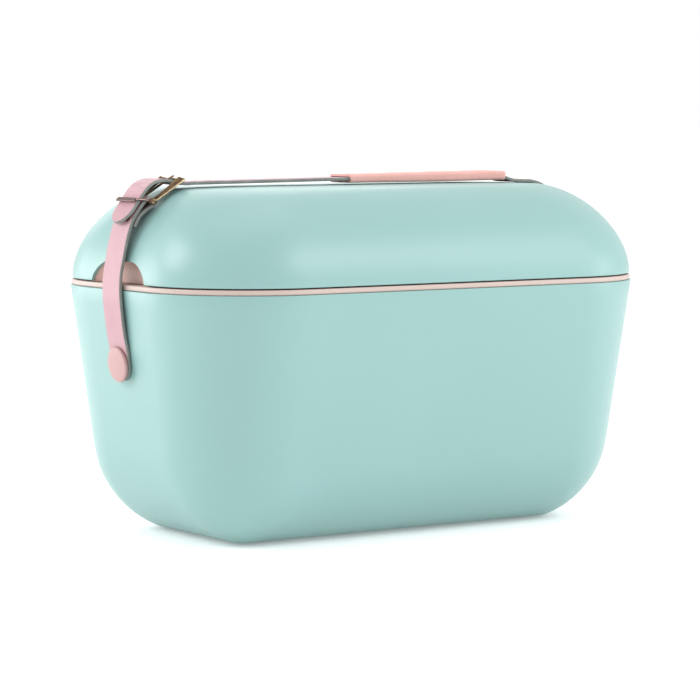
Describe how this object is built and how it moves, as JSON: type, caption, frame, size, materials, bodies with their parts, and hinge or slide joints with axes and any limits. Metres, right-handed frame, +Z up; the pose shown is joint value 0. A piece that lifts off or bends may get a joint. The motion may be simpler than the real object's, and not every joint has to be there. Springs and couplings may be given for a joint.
{
  "type": "cooler chest",
  "caption": "Insulated picnic cooler chest: tapered tub, domed lift-off lid with finger notches, held shut by a buckled leather carry strap with a sliding grip.",
  "frame": {"origin": "centre of the footprint, on the surface the feet stand on", "axes": "+X along the chest towards the end without the buckle, +Y to the back, +Z up"},
  "size_m": [0.4268, 0.262, 0.2696],
  "materials": {
    "mint_plastic": "satin moulded plastic, mint green",
    "peach_plastic": "smooth moulded plastic, pale peach",
    "insulating_foam": "rigid closed-cell foam",
    "rubber": "matt rubber",
    "seal_rubber": "soft pale silicone",
    "antique_brass": "antique brass, darkened in the recesses",
    "zinc_steel": "zinc plated",
    "pink_cap": "satin cap, dusty pink",
    "pink_leather": "smooth pink leather with raw grey edges",
    "grip_leather": "folded salmon pink leather"
  },
  "bodies": {
    "chest": {"chest_shell": "mint_plastic", "chest_foam": "insulating_foam", "chest_liner": "peach_plastic", "rubber_feet": "rubber", "left_stud": "antique_brass", "left_stud_nut": "zinc_steel", "left_stud_cap": "pink_cap", "left_strap_tab": "pink_leather", "right_stud": "antique_brass", "right_stud_nut": "zinc_steel", "right_stud_cap": "pink_cap", "right_strap_tab": "pink_leather"},
    "lid": {"lid_shell": "mint_plastic", "lid_foam": "insulating_foam", "lid_liner": "peach_plastic", "left_finger_pull": "peach_plastic", "right_finger_pull": "peach_plastic", "lid_gasket": "seal_rubber"},
    "left_strap_body": {"left_strap": "pink_leather", "left_strap_rivets": "antique_brass"},
    "buckle": {"buckle_frame": "antique_brass", "buckle_heel_bar": "antique_brass"},
    "prong": {"buckle_prong": "antique_brass"},
    "keeper": {"strap_keeper": "antique_brass"},
    "right_strap_body": {"right_strap": "pink_leather"},
    "top_strap_body": {"top_strap": "pink_leather", "strap_tail": "pink_leather"},
    "grip": {"grip_sleeve": "grip_leather"}
  },
  "joints": [
    {"name": "lid_lift", "type": "slide", "parent": "chest", "child": "lid", "axis": [0, 0, 1], "range_m": [0, 0.16]},
    {"name": "left_strap_open", "type": "hinge", "parent": "chest", "child": "left_strap_body", "pos_m": [-0.20888, 0, 0.14971], "axis": [0, -1, 0], "range_deg": [0, 120]},
    {"name": "right_strap_open", "type": "hinge", "parent": "chest", "child": "right_strap_body", "pos_m": [0.20888, 0, 0.14971], "axis": [0, 1, 0], "range_deg": [0, 105]},
    {"name": "top_strap_unfold", "type": "hinge", "parent": "right_strap_body", "child": "top_strap_body", "pos_m": [0.19997, 0, 0.23002], "axis": [0, 1, 0], "range_deg": [0, 60], "deforming": ["strap_tail"]},
    {"name": "buckle_frame_turn", "type": "hinge", "parent": "left_strap_body", "child": "buckle", "pos_m": [-0.1865, 0, 0.2501], "axis": [0, -1, 0], "range_deg": [0, 45]},
    {"name": "prong_turn", "type": "hinge", "parent": "buckle", "child": "prong", "pos_m": [-0.1865, 0, 0.2501], "axis": [0, -1, 0], "range_deg": [0, 50]},
    {"name": "keeper_lift", "type": "hinge", "parent": "left_strap_body", "child": "keeper", "pos_m": [-0.1865, 0, 0.2501], "axis": [0, 1, 0], "range_deg": [0, 18]},
    {"name": "grip_slide", "type": "slide", "parent": "top_strap_body", "child": "grip", "axis": [1, 0, 0.0095], "range_m": [-0.11, 0]}
  ],
  "couplings": [
    {"joint": "left_strap_open", "follows": "lid_lift", "rad_per_m": 13.08},
    {"joint": "right_strap_open", "follows": "lid_lift", "rad_per_m": 11.45},
    {"joint": "top_strap_unfold", "follows": "lid_lift", "rad_per_m": 6.54}
  ]
}
